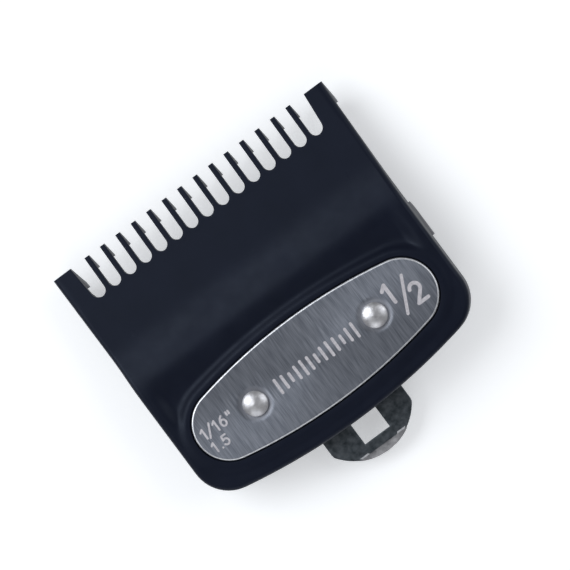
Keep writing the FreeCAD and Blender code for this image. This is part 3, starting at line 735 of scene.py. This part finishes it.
# A row of ticks between the rivets, whose lengths rise and fall in fours by a cosine.
TICK_COUNT, TICK_PITCH, TICK_SHIFT, TICK_STROKE = 13, 1.18, 0.3, 0.46
TICK_SHORT, TICK_MORE = 0.62, 0.50
for number in range(TICK_COUNT):
    tick_x = (number - (TICK_COUNT - 1) / 2) * TICK_PITCH + TICK_SHIFT
    tall = TICK_SHORT + TICK_MORE * abs(math.cos(number * math.pi / 4))
    mark_patches += stroke([(tick_x, PLATE_Y - tall), (tick_x, PLATE_Y + tall)], TICK_STROKE)
etching = finish_edges(join_patches("size_marks", mark_patches, near=0.0002), 0.0)
frosted, tree, surface = shader("frosted_etching", Metallic=0.55)
tree.links.new(spread(tree, grain(tree, 3000.0), (0.54, 0.515, 0.54), (0.70, 0.67, 0.69)),
               surface.inputs["Base Color"])
tree.links.new(spread(tree, grain(tree, 5000.0), 0.5, 0.7), surface.inputs["Roughness"])
etching.data.materials.append(frosted)
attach(etching, "comb")

# ===================================================================== the rivets
# Two bright rivets with a low dome and the small nub that the setting tool leaves. The shank
# goes down through plate, comb and clip, and a flat tail holds the clip.
RIVET_FOOT_Z, RIVET_TOP_Z = RIVET_LOW[2], RIVET_HIGH[2]
TAIL_RADIUS, TAIL_HIGH, TAIL_ROUND, SHANK_RADIUS = 1.8, 0.8, 0.25, 1.1
HEAD_SINK, HEAD_SKIRT, SHOULDER_HIGH = 0.01, 0.12, 0.30
SKIRT_IN, BASE_IN = 0.22, 0.05
DOME_SHARE = 0.86
NUB_HIGH, NUB_SHARE, NUB_ROOM = 0.05, 0.2, 0.06


def turned(profile, x, y, steps=64):
    """A profile of (radius, height) points carried once round an upright axis at x, y."""
    turn = np.linspace(0.0, 2 * math.pi, steps + 1)
    radius, height = np.asarray(profile, float).T
    grid = np.empty((len(radius), steps + 1, 3))
    grid[..., 0] = x + radius[:, None] * np.cos(turn)[None, :]
    grid[..., 1] = y + radius[:, None] * np.sin(turn)[None, :]
    grid[..., 2] = height[:, None]
    return grid


# The dome is the cap of a circle out to DOME_SHARE of its radius, stretched to the head's
# height, with the nub as a bell curve on its top.
dome_radius = np.linspace(1.0, 0.0, 16)
dome_height = np.sqrt(1.0 - (dome_radius * DOME_SHARE) ** 2)
dome_height = (dome_height - dome_height[0]) / (dome_height[-1] - dome_height[0])
head_base = PLATE_TOP_Z - DIMPLE_DEPTH - HEAD_SINK
shoulder = head_base + SHOULDER_HIGH
nub = NUB_HIGH * np.exp(-(dome_radius / NUB_SHARE) ** 2)
dome = np.stack([dome_radius * HEAD_RADIUS,
                 shoulder + dome_height * (RIVET_TOP_Z - NUB_ROOM - shoulder) + nub], -1)
foot = np.linspace(0.0, math.pi / 2, 5)
tail = np.stack([TAIL_RADIUS - TAIL_ROUND + TAIL_ROUND * np.sin(foot),
                 RIVET_FOOT_Z + TAIL_ROUND * (1 - np.cos(foot))], -1)
profile = np.concatenate([
    [[0.0, RIVET_FOOT_Z]], tail, [[TAIL_RADIUS, RIVET_FOOT_Z + TAIL_HIGH]],
    [[SHANK_RADIUS, RIVET_FOOT_Z + TAIL_HIGH]], [[SHANK_RADIUS, head_base - HEAD_SKIRT]],
    [[HEAD_RADIUS - SKIRT_IN, head_base - HEAD_SKIRT]], [[HEAD_RADIUS - BASE_IN, head_base]],
    dome])
bright, tree, surface = shader("bright_rivet", Metallic=1.0)
head_tone = spread(tree, grain(tree, 1400.0, detail=4.0), (0.54, 0.53, 0.55), (0.74, 0.73, 0.74))
tree.links.new(head_tone, surface.inputs["Base Color"])
tree.links.new(spread(tree, grain(tree, 2600.0, detail=5.0), 0.30, 0.46),
               surface.inputs["Roughness"])
relief(tree, surface, [(grain(tree, 1100.0, detail=4.0), 0.000012)])
for side, x in (("left", -RIVET_X), ("right", RIVET_X)):
    rivet = finish_edges(join_patches(f"domed_rivet_{side}", [turned(profile, x, PLATE_Y)]), 0.05)
    rivet.data.materials.append(bright)
    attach(rivet, "comb")
    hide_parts(f"rivet_{side}")

# ================================================================ the spring clip
# One strip of tempered steel, 0.6 mm thick: a wide leaf under the rivets, a bend down behind
# the blade, a thumb tab with a square window and a bent lip, and a catch for the blade's heel.
SHEET = 0.6
LEAF_LOW, LEAF_HIGH = (np.array(corner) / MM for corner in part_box("clip_leaf"))
TONGUE_LOW, TONGUE_HIGH = (np.array(corner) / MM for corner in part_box("clip_tongue"))
LEAF_Z = (LEAF_LOW[2] + LEAF_HIGH[2]) / 2
LEAF_HALF = LEAF_HIGH[0]
TAB_HALF = TONGUE_HIGH[0]
TAB_END_Y = TONGUE_LOW[1]
TAB_Z = 3.0
RISER_Y = TIP_Y - 41.8
BEND_RADIUS = 0.6
FOLD_Y = TIP_Y - 48.7
LIP_DROP = 0.55
SHOULDER_Y = TIP_Y - 36.4
TAB_ROUND = 8.78
ARC_START_Y = TIP_Y - 46.0
WINDOW_HALF = 2.3
WINDOW_REAR_Y = TIP_Y - 47.2
WINDOW_ROWS = 9

# The strip's middle line, seen from the side, as y and z.
quarter_turn = np.linspace(0.0, math.pi / 2, 8)
leaf_y = np.concatenate([
    LEAF_HIGH[1] - np.array([0.0, 0.15, 0.4, 0.8, 1.3, 2.0]),
    np.linspace(LEAF_HIGH[1] - 3.0, SHOULDER_Y, 8),
    np.linspace(SHOULDER_Y, RISER_Y + BEND_RADIUS, 14)[1:-1]])
upper_bend_y = RISER_Y + BEND_RADIUS - BEND_RADIUS * np.sin(quarter_turn)
upper_bend_z = LEAF_Z - BEND_RADIUS * (1 - np.cos(quarter_turn))
riser_z = np.linspace(LEAF_Z - BEND_RADIUS, TAB_Z + BEND_RADIUS, 6)[1:-1]
riser_y = np.full(len(riser_z), RISER_Y)
lower_bend_y = RISER_Y - BEND_RADIUS * (1 - np.cos(quarter_turn))
lower_bend_z = TAB_Z + BEND_RADIUS - BEND_RADIUS * np.sin(quarter_turn)
tab_y = np.concatenate([
    np.linspace(lower_bend_y[-1], WINDOW_REAR_Y, WINDOW_ROWS + 1)[1:],
    np.linspace(WINDOW_REAR_Y, FOLD_Y + 0.2, 5)[1:]])
LIP_LEAN = math.atan(LIP_DROP / (FOLD_Y - TAB_END_Y))
LIP_END_Y = TAB_END_Y + SHEET / 2 * math.sin(LIP_LEAN)
lip_y = np.linspace(FOLD_Y, LIP_END_Y, 9)
lip_z = TAB_Z - (FOLD_Y - lip_y) * math.tan(LIP_LEAN)
strip_y = np.concatenate([leaf_y, upper_bend_y, riser_y, lower_bend_y, tab_y, lip_y])
strip_z = np.concatenate([np.full(len(leaf_y), LEAF_Z), upper_bend_z, riser_z, lower_bend_z,
                          np.full(len(tab_y), TAB_Z), lip_z])
first_lower = len(leaf_y) + len(upper_bend_y) + len(riser_y)
window_first = first_lower + len(lower_bend_y) - 1
window_last = window_first + WINDOW_ROWS

# Half the strip's width along it: leaf with round corners, shoulders drawn in over
# SHOULDER_LONG, then the tab's arc.
LEAF_CORNER = 2.0
SHOULDER_LONG = 2.0
within_corner = np.clip(LEAF_CORNER - (LEAF_HIGH[1] - strip_y), 0, None)
corner_in = LEAF_CORNER - np.sqrt(np.maximum(LEAF_CORNER ** 2 - within_corner ** 2, 0))
shoulder_part = smooth((SHOULDER_Y - strip_y) / SHOULDER_LONG)
strip_half = (LEAF_HALF - corner_in) * (1 - shoulder_part) + TAB_HALF * shoulder_part
tab_centre_y = LIP_END_Y + TAB_ROUND
tab_arc = np.sqrt(np.maximum(TAB_ROUND ** 2 - (strip_y - tab_centre_y) ** 2, 0.0))
strip_half = np.where(strip_y < ARC_START_Y, np.minimum(tab_arc, TAB_HALF), strip_half)
strip_half = np.maximum(strip_half, 0.02)
end_half = strip_half[window_last]
window_edge = np.where(strip_y < WINDOW_REAR_Y, WINDOW_HALF * strip_half / end_half, WINDOW_HALF)
inner_across = np.linspace(-1.0, 1.0, 7)
outer_across = np.linspace(0.0, 1.0, 7)[1:]
outer_x = window_edge[:, None] + (strip_half - window_edge)[:, None] * outer_across[None, :]
inner_x = window_edge[:, None] * inner_across[None, :]
strip_x = np.concatenate([-outer_x[:, ::-1], inner_x, outer_x], 1)
strip = np.stack([strip_x, np.broadcast_to(strip_y[:, None], strip_x.shape),
                  np.broadcast_to(strip_z[:, None], strip_x.shape)], -1)
side_count, window_count = len(outer_across), len(inner_across)
strip_parts = [
    strip[:window_first + 1],
    strip[window_first:window_last + 1, :side_count + 1],
    strip[window_first:window_last + 1, side_count + window_count - 1:],
    strip[window_last:],
]

# The catch: a narrow tongue that runs down the riser, bends forward and lies under the heel.
CATCH_HALF = 2.1
CATCH_BEND = 0.45
CATCH_TOP_Z = TAB_Z + 1.0
CATCH_COLUMNS = 5
CATCH_FRONT_Y = TONGUE_HIGH[1] - 1.4
CATCH_Z = TONGUE_LOW[2] + SHEET / 2
catch_turn = np.linspace(0.0, math.pi / 2, 7)
catch_y = np.concatenate([[RISER_Y, RISER_Y],
                          RISER_Y + CATCH_BEND * (1 - np.cos(catch_turn)), [CATCH_FRONT_Y]])
catch_z = np.concatenate([[CATCH_TOP_Z, CATCH_TOP_Z - SHEET],
                          CATCH_Z + CATCH_BEND - CATCH_BEND * np.sin(catch_turn), [CATCH_Z]])
catch_x = np.linspace(-CATCH_HALF, CATCH_HALF, CATCH_COLUMNS)
catch_size = (len(catch_y), CATCH_COLUMNS)
catch = np.stack([np.broadcast_to(catch_x[None, :], catch_size),
                  np.broadcast_to(catch_y[:, None], catch_size),
                  np.broadcast_to(catch_z[:, None], catch_size)], -1)
clip = finish_edges(join_patches("spring_clip", strip_parts + [catch]), 0.07, solid=SHEET)

# Dark heat-tinted spring steel, mottled. The lip gets a lighter copy of the steel, painted light for
# the light it catches, and its crease a painted highlight in a short stretch on both sides of the
# middle.
spring, tree, surface = shader("spring_steel", Metallic=1.0, Anisotropic=0.3)
strip_tone = spread(tree, grain(tree, 1100.0, detail=8.0), (0.050, 0.060, 0.068),
                    (0.135, 0.150, 0.165), 0.33, 0.69)
tree.links.new(strip_tone, surface.inputs["Base Color"])
tree.links.new(spread(tree, grain(tree, 1500.0, detail=6.0), 0.30, 0.52), surface.inputs["Roughness"])
relief(tree, surface, [(grain(tree, 900.0, detail=5.0), 0.000010)])
clip.data.materials.append(spring)
# Painted light: a lighter copy of the spring steel on the lip, standing in for the light it catches.
lit_lip_paint, tree, surface = shader("painted_lit_lip", Metallic=1.0)
tree.links.new(spread(tree, grain(tree, 900.0, detail=5.0), (0.17, 0.17, 0.18), (0.48, 0.47, 0.48)),
               surface.inputs["Base Color"])
tree.links.new(spread(tree, grain(tree, 1500.0, detail=4.0), 0.34, 0.5), surface.inputs["Roughness"])
clip.data.materials.append(lit_lip_paint)
clip.data.materials.append(highlight_paint)
LIP_START_Y = FOLD_Y - 0.02
CREASE_WIDE, GLINT_START, GLINT_END = 0.2, 2.5, 4.2
LIT_LIP_SLOT, HIGHLIGHT_SLOT = 1, 2
middle = np.empty(len(clip.data.polygons) * 3)
clip.data.polygons.foreach_get("center", middle)
middle = middle.reshape(-1, 3) / MM
# Painted highlight: crease faces between GLINT_START and GLINT_END from the middle take the pale
# highlight paint, as a glint.
on_crease = (middle[:, 1] > LIP_START_Y) & (middle[:, 1] < FOLD_Y + CREASE_WIDE)
from_middle = np.abs(middle[:, 0])
glint = on_crease & (from_middle > GLINT_START) & (from_middle < GLINT_END)
slots = LIT_LIP_SLOT * (middle[:, 1] < LIP_START_Y).astype(int)
slots[glint] = HIGHLIGHT_SLOT
clip.data.polygons.foreach_set("material_index", slots)
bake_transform(clip)
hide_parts("clip_leaf", "clip_tongue")

# =============================================================== floor and lights
# A plain white table, a large soft light beyond the teeth, and weaker ones from the right
# and from the rear.
bpy.ops.mesh.primitive_plane_add(size=6.0, location=(0.0, 0.0, -0.0002))
floor = bpy.context.object
floor.name = "table"
table, tree, surface = shader("white_table", Roughness=0.9, Specular_IOR_Level=0.1)
surface.inputs["Base Color"].default_value = (0.92, 0.92, 0.92, 1.0)
surface.inputs["Emission Color"].default_value = (0.97, 0.98, 1.0, 1.0)
surface.inputs["Emission Strength"].default_value = 0.36
floor.data.materials.append(table)

world = bpy.data.worlds.new("studio")
bpy.context.scene.world = world
world.use_nodes = True
world.node_tree.nodes["Background"].inputs["Color"].default_value = (0.95, 0.97, 1.0, 1.0)
world.node_tree.nodes["Background"].inputs["Strength"].default_value = 0.30
bpy.context.scene.view_settings.view_transform = "Standard"

# Each light's name, place in metres, size and power. All of them point at the comb.
for name, place, size, power in (
    ("key", (-0.50, 0.62, 0.72), 0.9, 7.6),
    ("fill", (0.85, 0.0, 0.62), 0.8, 2.6),
    ("rear", (-0.5, -0.75, 0.5), 0.8, 1.8),
):
    lamp = bpy.data.lights.new(name, "AREA")
    lamp.size = size
    lamp.energy = power
    lamp.color = (0.92, 0.96, 1.0)
    holder = bpy.data.objects.new(name, lamp)
    holder.location = place
    holder.rotation_euler = (-Vector(place)).to_track_quat("-Z", "Y").to_euler()
    bpy.context.scene.collection.objects.link(holder)

# The camera looks almost straight down from a little to the right, turned so that the teeth
# point up and to the left.
CAMERA_AWAY = 0.9
CAMERA_LEAN = math.radians(-6.2)
CAMERA_ROLL = math.radians(36.67)
CAMERA_AIM = (-0.00078, 0.00438)
CAMERA_LENS = 380.3
turned_view = Matrix.Rotation(CAMERA_ROLL, 3, "Z") @ Matrix.Rotation(CAMERA_LEAN, 3, "Y")
camera = bpy.data.objects.new("camera", bpy.data.cameras.new("camera"))
camera.data.lens = CAMERA_LENS
camera.data.sensor_width = 36.0
camera.data.clip_end = 20.0
to_world = turned_view.transposed()
camera_place = to_world @ Vector((*CAMERA_AIM, CAMERA_AWAY))
camera.matrix_world = Matrix.Translation(camera_place) @ to_world.to_4x4()
bpy.context.scene.collection.objects.link(camera)
bpy.context.scene.camera = camera
